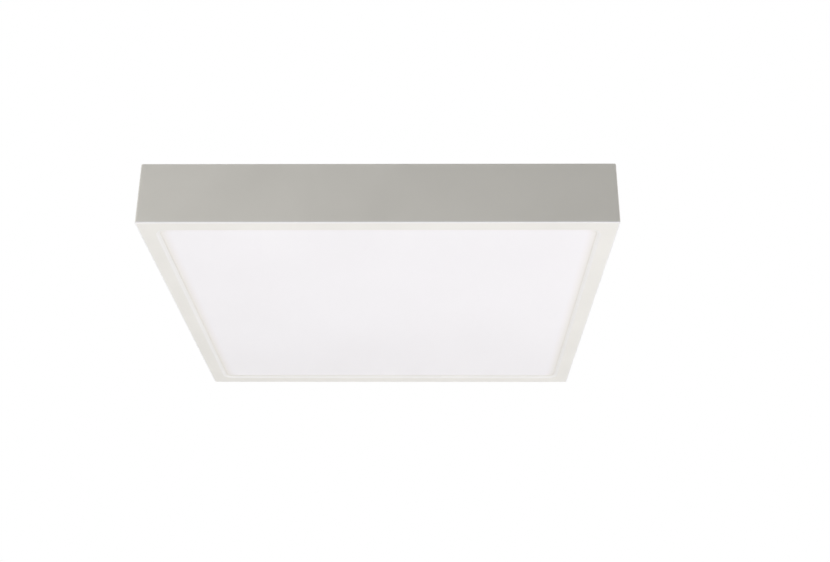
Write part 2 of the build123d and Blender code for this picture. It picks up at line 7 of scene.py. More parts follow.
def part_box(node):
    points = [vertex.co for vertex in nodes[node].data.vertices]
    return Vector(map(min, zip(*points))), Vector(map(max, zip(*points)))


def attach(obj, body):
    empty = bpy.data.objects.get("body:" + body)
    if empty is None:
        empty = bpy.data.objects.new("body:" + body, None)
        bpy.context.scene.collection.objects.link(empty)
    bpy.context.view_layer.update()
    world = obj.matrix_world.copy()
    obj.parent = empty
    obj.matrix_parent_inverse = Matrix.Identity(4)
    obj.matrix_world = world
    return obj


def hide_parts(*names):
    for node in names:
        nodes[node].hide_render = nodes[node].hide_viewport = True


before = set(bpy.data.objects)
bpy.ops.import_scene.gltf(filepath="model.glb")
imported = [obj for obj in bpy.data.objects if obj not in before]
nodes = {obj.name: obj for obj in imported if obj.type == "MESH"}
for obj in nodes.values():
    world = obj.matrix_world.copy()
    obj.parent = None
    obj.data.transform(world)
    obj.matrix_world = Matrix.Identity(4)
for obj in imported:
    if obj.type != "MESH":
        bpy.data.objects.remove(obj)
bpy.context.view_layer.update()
mm = 0.001
print("frame loaded:", len(nodes), "nodes")


def toLinear(code):
    # sRGB hex to linear light: a straight foot below 0.04045, a 2.4 power above it
    parts = [int(code[i:i + 2], 16) / 255 for i in (1, 3, 5)]
    return [v / 12.92 if v <= 0.04045 else ((v + 0.055) / 1.055) ** 2.4 for v in parts] + [1.0]


def addNode(tree, kind, settings=None, links=None):
    # a setting goes to the input of that name or number, or to the node itself; stops fill a colour ramp
    node = tree.nodes.new("ShaderNode" + kind)
    for key, value in (settings or {}).items():
        if key == "stops":
            while len(node.color_ramp.elements) < len(value):
                node.color_ramp.elements.new(1.0)
            for element, (place, tone) in zip(node.color_ramp.elements, value):
                element.position = place
                element.color = toLinear(tone) if isinstance(tone, str) else (tone, tone, tone, 1.0)
        elif isinstance(key, int) or key in node.inputs:
            node.inputs[key].default_value = value
        else:
            setattr(node, key, value)
    for key, socket in (links or {}).items():
        tree.links.new(socket, node.inputs[key])
    return node


def startMaterial(name, constants):
    # a new material with the shader's fixed values set on its own sockets
    material = bpy.data.materials.new(name)
    material.use_nodes = True
    tree = material.node_tree
    shader = tree.nodes["Principled BSDF"]
    for key, value in constants.items():
        shader.inputs[key].default_value = value
    coords = addNode(tree, "TexCoord").outputs["Object"]
    return material, tree, shader, coords


# Noise shared by all finishes: the band that most of its values lie in, and the octaves of patches and grain
noiseLook = {"band": (0.3, 0.7), "patchOctaves": 3.0, "grainOctaves": 2.0}


def surface(name, look):
    # tone drifts between two colours in patches, roughness may drift with it, and a fine grain lifts the
    # surface; patch, grain and depth are millimetres, and a small stretch draws the pattern out on that axis
    material, tree, shader, coords = startMaterial(name, look.get("shader", {}))
    stretch = {"Scale": look.get("stretch", (1, 1, 1))}
    drawn = addNode(tree, "Mapping", stretch, {"Vector": coords}).outputs[0]
    wide = {"Scale": 1 / (look["patch"] * mm), "Detail": look.get("octaves", noiseLook["patchOctaves"])}
    patch = addNode(tree, "TexNoise", wide, {"Vector": drawn}).outputs[0]
    stops = list(zip(noiseLook["band"], look["tones"]))
    tone = addNode(tree, "ValToRGB", {"stops": stops}, {"Fac": patch}).outputs[0]
    tree.links.new(tone, shader.inputs["Base Color"])
    if "rough" in look:
        ends = dict(zip(("From Min", "From Max", "To Min", "To Max"), noiseLook["band"] + look["rough"]))
        drift = addNode(tree, "MapRange", ends, {"Value": patch}).outputs[0]
        tree.links.new(drift, shader.inputs["Roughness"])
    fine = {"Scale": 1 / (look["grain"] * mm), "Detail": noiseLook["grainOctaves"]}
    grain = addNode(tree, "TexNoise", fine, {"Vector": drawn}).outputs[0]
    lift = {"Strength": 1.0, "Distance": look["depth"] * mm}
    bump = addNode(tree, "Bump", lift, {"Height": grain}).outputs[0]
    tree.links.new(bump, shader.inputs["Normal"])
    return material


def dress(material, *names):
    # one finish on all the named nodes
    for name in names:
        for slot in nodes[name].material_slots:
            slot.material = material


def pastRectangle(tree, coords, half, corner):
    # distance outwards from a rectangle with rounded corners: the length of what x and y exceed the corner
    # centres by, less the radius
    centre = [(side - corner) * mm for side in half] + [1.0]
    beside = addNode(tree, "VectorMath", {"operation": "ABSOLUTE"}, {0: coords}).outputs[0]
    beyond = addNode(tree, "VectorMath", {"operation": "SUBTRACT", 1: centre}, {0: beside}).outputs[0]
    outside = addNode(tree, "VectorMath", {"operation": "MAXIMUM", 1: (0, 0, 0)}, {0: beyond}).outputs[0]
    length = addNode(tree, "VectorMath", {"operation": "LENGTH"}, {0: outside}).outputs["Value"]
    return addNode(tree, "Math", {"operation": "SUBTRACT", 1: corner * mm}, {0: length}).outputs[0]


# Polyester powder coat baked on cast aluminium: ivory white, satin, a soft orange peel about 1.5 mm across,
# and a painted highlight: a thin pale line painted along the rims of the lit face, with the foot of the
# bevel painted paler against the shade of the recess.
# mouth and side are half widths and a corner radius, and each rim lists millimetres past it and its share of
# painted highlight;
# the painted highlight ends between the two heights in reach above the lit face
coatLook = {
    "tones": ("#e9e6de", "#edeae2"), "edge": "#f6f4f3", "patch": 45, "rough": (0.40, 0.48),
    "grain": 1.5, "depth": 0.006, "shader": {"IOR": 1.5, "Specular IOR Level": 0.4},
    "mouth": ((140.0, 140.0), 7.5),
    "mouthRim": [(-4.0, 1.0), (-2.3, 1.0), (-1.5, 0.3), (-1.0, 0.5), (-0.2, 0.5), (0.3, 0.0)],
    "side": ((150.0, 150.0), 1.5),
    "sideRim": [(-1.5, 0.0), (-1.1, 0.0), (-0.7, 0.8), (0.5, 0.8)],
    "reach": (0.8, 1.12),
}


def powderCoat(look):
    # the even coat, mixed with the paler edge tone of the painted highlight at the rims, as far up as they
    # reach from the lit side
    material = surface("polyester powder coat baked on aluminium", look)
    tree = material.node_tree
    colour = tree.nodes["Principled BSDF"].inputs["Base Color"]
    coords = addNode(tree, "TexCoord").outputs["Object"]
    shares = []
    for name in ("mouth", "side"):
        away = pastRectangle(tree, coords, *look[name])
        rim = look[name + "Rim"]
        first, last = rim[0][0], rim[-1][0]
        ends = {"From Min": first * mm, "From Max": last * mm}
        along = addNode(tree, "MapRange", ends, {"Value": away}).outputs[0]
        stops = [((place - first) / (last - first), share) for place, share in rim]
        shares.append(addNode(tree, "ValToRGB", {"stops": stops}, {"Fac": along}).outputs[0])
    paintedHighlights = addNode(tree, "Math", {"operation": "MAXIMUM"}, {0: shares[0], 1: shares[1]}).outputs[0]
    height = addNode(tree, "SeparateXYZ", {}, {0: coords}).outputs[2]
    low, high = (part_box("housing")[0].z + rise * mm for rise in look["reach"])
    span = {"From Min": low, "From Max": high, "To Min": 1.0, "To Max": 0.0}
    litSide = addNode(tree, "MapRange", span, {"Value": height}).outputs[0]
    share = addNode(tree, "Math", {"operation": "MULTIPLY"}, {0: paintedHighlights, 1: litSide}).outputs[0]
    # painted highlight: the pale edge tone is laid over the coat where the rims would catch light and where
    # the recess foot lies in shade
    pale = {"data_type": "RGBA", 7: toLinear(look["edge"])}
    tone = addNode(tree, "Mix", pale, {0: share, 6: colour.links[0].from_socket}).outputs[2]
    tree.links.new(tone, colour)
    return material


dress(powderCoat(coatLook), "housing")

# Extruded opal acrylic: milky white, fine satin face, and a painted shade: a soft warm border painted darker
# where the frame's recess shades the sheet, some 5 mm wide along the left and right sides and faint along the
# other two.
# window is half widths and a corner radius, and the painted shade lists millimetres past it and a tone
opalLook = {
    "tones": ("#f4f1f0", "#f7f4f3"), "patch": 120, "octaves": 1.0, "grain": 0.8, "depth": 0.002,
    "shader": {
        "Roughness": 0.42, "IOR": 1.49, "Specular IOR Level": 0.35,
        "Subsurface Weight": 0.25, "Subsurface Radius": (1.0, 1.0, 1.0), "Subsurface Scale": 2 * mm,
    },
    "window": ((137.5, 141.0), 10.0),
    "border": [
        (-10.0, "#ffffff"), (-6.5, "#ffffff"), (-4.5, "#fefdfc"),
        (-2.7, "#fbfaf7"), (-1.5, "#f8f7f2"), (0.0, "#f5f3ec"),
    ],
}


def opalAcrylic(look):
    # the even sheet's tone times a painted shade that darkens towards the window's edge
    material = surface("opal acrylic sheet, satin one side", look)
    tree = material.node_tree
    colour = tree.nodes["Principled BSDF"].inputs["Base Color"]
    coords = addNode(tree, "TexCoord").outputs["Object"]
    away = pastRectangle(tree, coords, *look["window"])
    first = look["border"][0][0]
    ends = {"From Min": first * mm, "From Max": 0.0}
    along = addNode(tree, "MapRange", ends, {"Value": away}).outputs[0]
    stops = [(1 - place / first, tone) for place, tone in look["border"]]
    # painted shade: the sheet is darkened towards the window's edge, where the frame's recess shades it
    border = addNode(tree, "ValToRGB", {"stops": stops}, {"Fac": along}).outputs[0]
    times = {"data_type": "RGBA", "blend_type": "MULTIPLY", 0: 1.0}
    tone = addNode(tree, "Mix", times, {6: colour.links[0].from_socket, 7: border}).outputs[2]
    tree.links.new(tone, colour)
    return material


dress(opalAcrylic(opalLook), "diffuser")

# Hot-dip galvanised sheet: grey zinc in flat crystals 6 to 12 mm wide, each with its own sheen and a
# feathered grain; feather is the share of grain in the grey, and ends are where the two tones lie in it
zincLook = {
    "crystal": 9, "wander": 5, "wanderOctaves": 4.0, "grain": 0.9, "grainOctaves": 3.0, "depth": 0.006,
    "feather": 0.35, "ends": (0.1, 0.9), "tones": ("#afb2b4", "#c3c6c7"), "rough": (0.46, 0.58),
}


def galvanisedSheet(look):
    # cells of a Voronoi field, one grey and one roughness each, bent by noise so that their edges wander
    material, tree, shader, coords = startMaterial("galvanised sheet steel, hot dipped", {"Metallic": 1.0})
    waves = {"Scale": 1 / (look["wander"] * mm), "Detail": look["wanderOctaves"]}
    wander = addNode(tree, "TexNoise", waves, {"Vector": coords}).outputs["Color"]
    size = {"operation": "SCALE", "Scale": look["wander"] * mm}
    shift = addNode(tree, "VectorMath", size, {0: wander}).outputs[0]
    bent = addNode(tree, "VectorMath", {"operation": "ADD"}, {0: coords, 1: shift}).outputs[0]
    field = {"Scale": 1 / (look["crystal"] * mm)}
    cells = addNode(tree, "TexVoronoi", field, {"Vector": bent}).outputs["Color"]
    shade = addNode(tree, "SeparateColor", {}, {"Color": cells}).outputs[0]
    fine = {"Scale": 1 / (look["grain"] * mm), "Detail": look["grainOctaves"]}
    grain = addNode(tree, "TexNoise", fine, {"Vector": coords}).outputs[0]
    mottle = addNode(tree, "Mix", {0: look["feather"]}, {2: shade, 3: grain}).outputs[0]
    stops = list(zip(look["ends"], look["tones"]))
    tone = addNode(tree, "ValToRGB", {"stops": stops}, {"Fac": mottle}).outputs[0]
    low, high = look["rough"]
    sheen = addNode(tree, "MapRange", {"To Min": high, "To Max": low}, {"Value": shade}).outputs[0]
    lift = {"Strength": 1.0, "Distance": look["depth"] * mm}
    bump = addNode(tree, "Bump", lift, {"Height": grain}).outputs[0]
    tree.links.new(tone, shader.inputs["Base Color"])
    tree.links.new(sheen, shader.inputs["Roughness"])
    tree.links.new(bump, shader.inputs["Normal"])
    return material


dress(galvanisedSheet(zincLook), "back_plate")

# Zinc-plated strip steel: bright blue-grey with faint rolling lines along the strap
platedStrip = surface("zinc plated strip steel, rolled", {
    "tones": ("#b9bdc2", "#cfd2d6"), "patch": 14, "stretch": (0.08, 1, 1), "rough": (0.30, 0.42),
    "grain": 0.5, "depth": 0.004, "shader": {"Metallic": 1.0},
})
dress(platedStrip, "mounting_bracket")

# Tempered spring steel: darker and bluer than the strap, with a smooth blued face
springSteel = surface("tempered spring steel strip, blued", {
    "tones": ("#777b82", "#8f939a"), "patch": 5, "stretch": (1, 0.2, 1), "rough": (0.22, 0.32),
    "grain": 0.4, "depth": 0.002, "shader": {"Metallic": 1.0},
})
dress(springSteel, "clip_left", "clip_right")

# Zinc-plated screws: bright, cold-headed, slightly mottled by the plating barrel
platedScrew = surface("zinc plated steel screws, cold headed", {
    "tones": ("#c3c5c4", "#dcdddb"), "patch": 1.6, "rough": (0.20, 0.32),
    "grain": 0.3, "depth": 0.003, "shader": {"Metallic": 1.0},
})
dress(platedScrew, "back_plate_screws", "driver_screws", "terminal_screws", "earth_screw", "earth_washer")

# Aluminium rivets, drawn and pulled: bright, a little satin
rivetMetal = surface("aluminium blind rivets, drawn", {
    "tones": ("#cdcecd", "#e0e0df"), "patch": 1.4, "rough": (0.26, 0.36),
    "grain": 0.3, "depth": 0.003, "shader": {"Metallic": 1.0},
})
dress(rivetMetal, "clip_rivets")

# Tin-plated brass lug: silvery with a warm cast
tinnedBrass = surface("tin plated brass lug, stamped", {
    "tones": ("#c9c2b3", "#dad5c8"), "patch": 2.2, "rough": (0.24, 0.34),
    "grain": 0.3, "depth": 0.003, "shader": {"Metallic": 1.0},
})
dress(tinnedBrass, "earth_lug")

# Spring brass contacts in the terminal cells: rolled bright, yellow
springBrass = surface("rolled brass contacts", {
    "tones": ("#b8923f", "#cfab5a"), "patch": 3, "stretch": (1, 0.3, 1), "rough": (0.22, 0.34),
    "grain": 0.3, "depth": 0.002, "shader": {"Metallic": 1.0},
})
dress(springBrass, "terminal_clamps")

# Moulded polycarbonate driver case: cool white, spark-eroded mould texture with grains about 0.6 mm
driverCase = surface("polycarbonate, moulded with a spark-eroded texture", {
    "tones": ("#dedfdd", "#e6e6e4"), "patch": 30, "rough": (0.50, 0.60),
    "grain": 0.6, "depth": 0.03, "shader": {"IOR": 1.58, "Specular IOR Level": 0.4},
})
dress(driverCase, "driver_base", "driver_lid")

# Moulded polyamide terminal body: warm white, a little waxy
terminalNylon = surface("polyamide, injection moulded", {
    "tones": ("#e4e1d8", "#ebe9e1"), "patch": 12, "rough": (0.42, 0.52), "grain": 0.5, "depth": 0.012,
    "shader": {
        "IOR": 1.53, "Subsurface Weight": 0.1,
        "Subsurface Radius": (1.0, 0.9, 0.7), "Subsurface Scale": 1 * mm,
    },
})
dress(terminalNylon, "terminal_body")

# Release buttons from a polished mould: glossy, two grey, the earth pole green
buttonTones = {
    "button_live": ("live", ("#8d9194", "#979b9e")),
    "button_neutral": ("neutral", ("#8d9194", "#979b9e")),
    "button_earth": ("earth", ("#3f8a3c", "#4a9646")),
}
for name, (pole, tones) in buttonTones.items():
    dress(surface("polyamide button, polished mould, " + pole, {
        "tones": tones, "patch": 4, "rough": (0.28, 0.36),
        "grain": 0.4, "depth": 0.004, "shader": {"IOR": 1.53},
    }), name)

# Natural nylon saddles over the leads: milky and half clear
naturalNylon = surface("natural polyamide saddles, moulded", {
    "tones": ("#d9d6c8", "#e3e0d4"), "patch": 6, "rough": (0.34, 0.44), "grain": 0.5, "depth": 0.006,
    "shader": {
        "IOR": 1.53, "Subsurface Weight": 0.3,
        "Subsurface Radius": (1.0, 0.95, 0.8), "Subsurface Scale": 1.5 * mm,
    },
})
dress(naturalNylon, "input_lead_clip", "output_lead_clip")

# Moulded EPDM grommets: matt black with a grey bloom
grommetRubber = surface("EPDM rubber, moulded", {
    "tones": ("#17181a", "#242527"), "patch": 5, "rough": (0.60, 0.75),
    "grain": 0.4, "depth": 0.01, "shader": {"IOR": 1.52, "Specular IOR Level": 0.35},
})
dress(grommetRubber, "lead_grommet", "cable_grommet")

# Extruded PVC insulation: smooth and evenly coloured, with a soft gloss
leadTones = {
    "live_lead": ("#5a3019", "#673a20"),
    "neutral_lead": ("#1f4f9e", "#2a5bab"),
    "output_lead_positive": ("#a3161a", "#b32024"),
    "output_lead_negative": ("#141416", "#1f1f22"),
    "board_links": ("#d9d8d3", "#e4e3df"),
}
for name, tones in leadTones.items():
    dress(surface("PVC insulation, extruded, " + name, {
        "tones": tones, "patch": 8, "rough": (0.34, 0.44),
        "grain": 0.6, "depth": 0.006, "shader": {"IOR": 1.53},
    }), name)

# Earth lead: green insulation with a yellow stripe along its upper and lower sides
earthLook = {
    "green": "#3f8f34", "yellow": "#d9c22a", "edge": (0.62, 0.70),
    "grain": 0.6, "depth": 0.006, "shader": {"Roughness": 0.38, "IOR": 1.53},
}


def stripedInsulation(look):
    # the stripe is where the face looks up or down: the height of its normal picks the colour
    material, tree, shader, coords = startMaterial("PVC insulation, extruded in two colours", look["shader"])
    normal = addNode(tree, "TexCoord").outputs["Normal"]
    height = addNode(tree, "SeparateXYZ", {}, {0: normal}).outputs[2]
    steep = addNode(tree, "Math", {"operation": "ABSOLUTE"}, {0: height}).outputs[0]
    stops = list(zip(look["edge"], (look["green"], look["yellow"])))
    tone = addNode(tree, "ValToRGB", {"stops": stops}, {"Fac": steep}).outputs[0]
    fine = {"Scale": 1 / (look["grain"] * mm), "Detail": noiseLook["grainOctaves"]}
    grain = addNode(tree, "TexNoise", fine, {"Vector": coords}).outputs[0]
    lift = {"Strength": 1.0, "Distance": look["depth"] * mm}
    bump = addNode(tree, "Bump", lift, {"Height": grain}).outputs[0]
    tree.links.new(tone, shader.inputs["Base Color"])
    tree.links.new(bump, shader.inputs["Normal"])
    return material


dress(stripedInsulation(earthLook), "earth_lead")

# Cast acrylic light guide: water clear, with a lattice of white printed dots;
# pitch is in millimetres, and the dot's radius and its soft edge are shares of the pitch
guideLook = {
    "pitch": 3.0, "dot": 0.32, "soft": 0.04, "tones": ("#e9f0f2", "#ffffff"),
    "shader": {"Roughness": 0.05, "IOR": 1.49, "Transmission Weight": 0.6},
}


def dottedAcrylic(look):
    # a square lattice of dots: distance to the nearest lattice point, cut at the dot's radius
    material, tree, shader, coords = startMaterial("cast acrylic with printed dots", look["shader"])
    grid = {"Scale": 1 / (look["pitch"] * mm), "Randomness": 0.0}
    away = addNode(tree, "TexVoronoi", grid, {"Vector": coords}).outputs["Distance"]
    clear, white = look["tones"]
    stops = [(look["dot"], white), (look["dot"] + look["soft"], clear)]
    tone = addNode(tree, "ValToRGB", {"stops": stops}, {"Fac": away}).outputs[0]
    tree.links.new(tone, shader.inputs["Base Color"])
    return material


dress(dottedAcrylic(guideLook), "light_guide")

# White polyester film behind the guide: bright, with a soft microvoid sheen
reflectorFilm = surface("white polyester film, microvoided", {
    "tones": ("#eeeeee", "#f6f6f6"), "patch": 20, "rough": (0.55, 0.65),
    "grain": 0.4, "depth": 0.002, "shader": {"IOR": 1.57},
})
dress(reflectorFilm, "reflector_sheet")

# White solder mask over aluminium light strips: clean white with a half gloss
stripMask = surface("white solder mask on aluminium strip", {
    "tones": ("#e6e8e6", "#f0f1ef"), "patch": 9, "rough": (0.36, 0.44),
    "grain": 0.4, "depth": 0.004, "shader": {"IOR": 1.55},
})
dress(stripMask, *("led_board_" + side for side in ("front", "rear", "left", "right")))

# Chips: yellow phosphor in silicone, smooth and slightly soft
phosphor = surface("phosphor filled silicone, dispensed", {
    "tones": ("#e8cf5e", "#f0dc7c"), "patch": 2, "rough": (0.30, 0.40),
    "grain": 0.3, "depth": 0.006, "shader": {"IOR": 1.41},
})
dress(phosphor, *("leds_" + side for side in ("front", "rear", "left", "right")))

# Thermal tape: grey filled acrylic, dull and dry
thermalTape = surface("thermal tape, filled acrylic", {
    "tones": ("#a9abb3", "#b9bac2"), "patch": 4, "rough": (0.62, 0.72),
    "grain": 0.3, "depth": 0.01, "shader": {"IOR": 1.5},
})
dress(thermalTape, "thermal_tapes")

# Driver board: green solder mask on glass epoxy, lighter in patches as where copper lies beneath
boardMask = surface("green solder mask on glass epoxy", {
    "tones": ("#14552a", "#2a7a42"), "patch": 5, "rough": (0.30, 0.40),
    "grain": 0.4, "depth": 0.01, "shader": {"IOR": 1.55},
})
dress(boardMask, "driver_board")

# Driver components, each with its material, tones, roughness and depth of grain: dull ferrite, glossy taped
# winding, sleeved cans with a soft gloss, potted film box, sleeved choke, glazed fuse, matt epoxy chip
componentLooks = {
    "transformer_core": ("sintered ferrite, ground", ("#2a2b2e", "#3a3b3f"), (0.42, 0.55), 0.02),
    "transformer_winding": ("polyester winding tape", ("#d9b520", "#e6c53a"), (0.28, 0.40), 0.02),
    "input_capacitor":
        ("PVC sleeve on aluminium can, input side", ("#1c2030", "#262b40"), (0.25, 0.34), 0.006),
    "output_capacitor":
        ("PVC sleeve on aluminium can, output side", ("#20301f", "#2a3f28"), (0.25, 0.34), 0.006),
    "suppression_capacitor": ("epoxy potted polyester box", ("#d8a91c", "#e4b92f"), (0.30, 0.40), 0.008),
    "line_choke": ("shrink sleeve on wound choke", ("#20242a", "#2d3238"), (0.40, 0.50), 0.02),
    "driver_fuse": ("glazed ceramic tube", ("#d9d4c6", "#e6e2d7"), (0.22, 0.30), 0.004),
    "controller_chip": ("moulded epoxy package", ("#18191b", "#232427"), (0.50, 0.60), 0.01),
}
for name, (title, tones, rough, depth) in componentLooks.items():
    dress(surface(title, {
        "tones": tones, "patch": 3, "rough": rough, "grain": 0.4, "depth": depth, "shader": {"IOR": 1.5},
    }), name)
print("materials:", len(bpy.data.materials))


def addPiece(name, mesh, material, body):
    # a new piece at the origin that rides on a body, with the given material on its mesh
    piece = bpy.data.objects.new(name, mesh)
    bpy.context.scene.collection.objects.link(piece)
    mesh.materials.append(material)
    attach(piece, body)
    return piece


# Foam pad: a sheet with cut corners, pressed flat, its edge drawn in and its top dented at the fasteners;
# what reaches tip below the pad's top is a fastener's tip, and what shares a square of one cell is one tip
foamLook = {
    "corner": 16, "inset": 0.5, "clear": 0.05, "steps": 141, "rings": 5,
    "dent": 1.9, "dentRadius": 3.2, "dentPower": 4, "tip": 0.5, "cell": 12,
    "marks": ("driver_screws", "terminal_screws", "clip_rivets", "earth_screw"),
}


def fastenerTips(look, top):
    # mean place of the vertices below the limit, over each square cell of a grid that holds some
    places = []
    for name in look["marks"]:
        co = np.empty(len(nodes[name].data.vertices) * 3)
        nodes[name].data.vertices.foreach_get("co", co)
        co = co.reshape(-1, 3)
        tip = co[co[:, 2] < top - look["tip"] * mm, :2]
        cell = np.round(tip / (look["cell"] * mm))
        places += [tip[np.all(cell == c, axis=1)].mean(0) for c in np.unique(cell, axis=0)]
    return np.array(places)


def foamPad(look):
    # x is u times the half-width at y, which shrinks where a corner is cut; the top dips in a bell round each
    # fastener; the side joins both faces with a parabola that bulges out to the full width at mid height
    low, high = (np.array(v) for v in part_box("foam_pad"))
    half = high[0] - look["inset"] * mm
    reach = 2 * half - look["corner"] * mm
    n = look["steps"]
    u, v = np.meshgrid(np.linspace(-1, 1, n), np.linspace(-1, 1, n))
    y = v * half
    x = u * np.minimum(half, reach - np.abs(y))
    tips = fastenerTips(look, high[2])
    gap = np.hypot(x[..., None] - tips[:, 0], y[..., None] - tips[:, 1])
    bell = np.exp(-(gap / (look["dentRadius"] * mm)) ** look["dentPower"]).max(-1)
    dents = look["dent"] * mm * bell
    top = np.stack([x, y, np.full_like(x, high[2] - look["clear"] * mm) - dents], -1).reshape(-1, 3)
    base = np.stack([x, y, np.full_like(x, low[2] + look["clear"] * mm)], -1).reshape(-1, 3)
    index = np.arange(n * n).reshape(n, n)
    rim = np.concatenate([index[0, :-1], index[:-1, -1], index[-1, :0:-1], index[:0:-1, 0]])
    quads = np.stack([index[:-1, :-1], index[:-1, 1:], index[1:, 1:], index[1:, :-1]], -1).reshape(-1, 4)
    share = np.linspace(0, 1, look["rings"] + 2)[1:-1]
    across = 1 + look["inset"] * mm / half * 4 * share * (1 - share)
    ring = base[rim][None] * (1 - share[:, None, None]) + top[rim][None] * share[:, None, None]
    ring[..., :2] *= across[:, None, None]
    verts = np.concatenate([base, top, ring.reshape(-1, 3)])
    between = 2 * n * n + np.arange(ring.shape[0] * len(rim)).reshape(-1, len(rim))
    rows = np.concatenate([rim[None], between, n * n + rim[None]])
    after = np.roll(rows, -1, axis=1)
    side = np.stack([rows[:-1], after[:-1], after[1:], rows[1:]], -1).reshape(-1, 4)
    faces = np.concatenate([quads[:, ::-1], quads + n * n, side])
    mesh = bpy.data.meshes.new("foamPad")
    mesh.from_pydata(verts.tolist(), [], faces.tolist())
    mesh.polygons.foreach_set("use_smooth", np.ones(len(faces), bool))
    return mesh


# Cross-linked polyethylene foam: off-white, matt, with closed cells about 0.8 mm across
foamMaterial = surface("polyethylene foam, cross linked and sliced", {
    "tones": ("#d9d8d2", "#e6e5e0"), "patch": 0.8, "rough": (0.80, 0.92),
    "grain": 0.8, "depth": 0.15, "shader": {"IOR": 1.4},
})
foam = addPiece("foamPad", foamPad(foamLook), foamMaterial, "lamp")
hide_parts("foam_pad")
print("foam pad:", len(foam.data.polygons), "faces")


# Pole marks on the terminal block: raised strokes for live, neutral and earth, in a 3 mm square each;
# back is how far the marks lie behind the block's front, and a stroke is its two ends in shares of the size
markLook = {
    "size": 3.0, "width": 0.42, "rise": 0.14, "sink": 0.05, "back": 2.9, "arc": 8,
    "strokes": {
        "button_live": [(-0.3, 0.5, -0.3, -0.5), (-0.3, -0.5, 0.35, -0.5)],
        "button_neutral": [(-0.38, -0.5, -0.38, 0.5), (-0.38, 0.5, 0.38, -0.5), (0.38, -0.5, 0.38, 0.5)],
        "button_earth": [
            (0.0, 0.5, 0.0, 0.05), (-0.5, 0.05, 0.5, 0.05),
            (-0.33, -0.22, 0.33, -0.22), (-0.16, -0.49, 0.16, -0.49),
        ],
    },
}


def poleMarks(look):
    # each stroke is a capsule: half circles round both ends of a line, carried up by the rise
    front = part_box("terminal_body")[0].y + look["back"] * mm
    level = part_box("terminal_body")[1].z
    strokes = []
    for name, lines in look["strokes"].items():
        low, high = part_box(name)
        strokes += [[(low.x + high.x) / 2] + list(line) for line in lines]
    s = np.array(strokes)
    size = look["size"] * mm
    start = np.stack([s[:, 0] + s[:, 1] * size, front + s[:, 2] * size], -1)
    end = np.stack([s[:, 0] + s[:, 3] * size, front + s[:, 4] * size], -1)
    heading = np.arctan2(end[:, 1] - start[:, 1], end[:, 0] - start[:, 0])
    turn = np.linspace(-math.pi / 2, math.pi / 2, look["arc"])
    angle = np.concatenate([heading[:, None] + turn, heading[:, None] + math.pi + turn], 1)
    centre = np.repeat(np.stack([end, start], 1), len(turn), 1)
    outline = centre + look["width"] / 2 * mm * np.stack([np.cos(angle), np.sin(angle)], -1)
    count, around = outline.shape[:2]
    levels = np.array([level - look["sink"] * mm, level + look["rise"] * mm])
    flat = np.repeat(outline[:, None], 2, 1)
    heights = np.broadcast_to(levels[None, :, None, None], flat.shape[:3] + (1,))
    verts = np.concatenate([flat, heights], -1).reshape(-1, 3)
    index = np.arange(count * 2 * around).reshape(count, 2, around)
    after = np.roll(index, -1, axis=2)
    side = np.stack([index[:, 0], after[:, 0], after[:, 1], index[:, 1]], -1).reshape(-1, 4)
    faces = side.tolist() + index[:, 1].tolist() + index[:, 0, ::-1].tolist()
    mesh = bpy.data.meshes.new("poleMarks")
    mesh.from_pydata(verts.tolist(), [], faces)
    return mesh


# Ink pad-printed on the strokes: dark grey, matt
markInk = surface("pad printing ink on polyamide", {
    "tones": ("#2b2d30", "#393b3e"), "patch": 1.5, "rough": (0.55, 0.65),
    "grain": 0.3, "depth": 0.004, "shader": {"IOR": 1.5},
})
marks = addPiece("poleMarks", poleMarks(markLook), markInk, "lamp")
print("pole marks:", len(marks.data.polygons), "faces")


# Floor far below the ceiling light: plain and pale, fading into the white room between two distances;
# level, size and fade are in metres
floorLook = {
    "level": -1.35, "size": 18.0, "fade": (2.4, 7.5),
    "tones": ("#f6f6f8", "#fafafc"), "patch": 400, "rough": (0.75, 0.85),
    "grain": 3, "depth": 0.02, "shader": {"IOR": 1.45},
}


def paleFloor(look):
    # a flat square of two by two cells at one height
    across = np.array([-0.5, 0.0, 0.5]) * look["size"]
    x, y = np.meshgrid(across, across)
    verts = np.stack([x, y, np.full_like(x, look["level"])], -1).reshape(-1, 3)
    index = np.arange(x.size).reshape(x.shape)
    faces = np.stack([index[:-1, :-1], index[:-1, 1:], index[1:, 1:], index[1:, :-1]], -1).reshape(-1, 4)
    mesh = bpy.data.meshes.new("paleFloor")
    mesh.from_pydata(verts.tolist(), [], faces.tolist())
    return mesh


def floorPaint(look):
    # matt paint, opaque near the lamp and clear past the far distance, with a smooth step between
    material = surface("matt floor paint", look)
    tree = material.node_tree
    coords = addNode(tree, "TexCoord").outputs["Object"]
    away = addNode(tree, "VectorMath", {"operation": "LENGTH"}, {0: coords}).outputs["Value"]
    near, far = look["fade"]
    ends = {"From Min": near, "From Max": far, "To Min": 1.0, "To Max": 0.0}
    step = {"interpolation_type": "SMOOTHSTEP"} | ends
    cover = addNode(tree, "MapRange", step, {"Value": away}).outputs[0]
    tree.links.new(cover, tree.nodes["Principled BSDF"].inputs["Alpha"])
    return material


floor = bpy.data.objects.new("paleFloor", paleFloor(floorLook))
bpy.context.scene.collection.objects.link(floor)
floor.data.materials.append(floorPaint(floorLook))
print("floor laid")

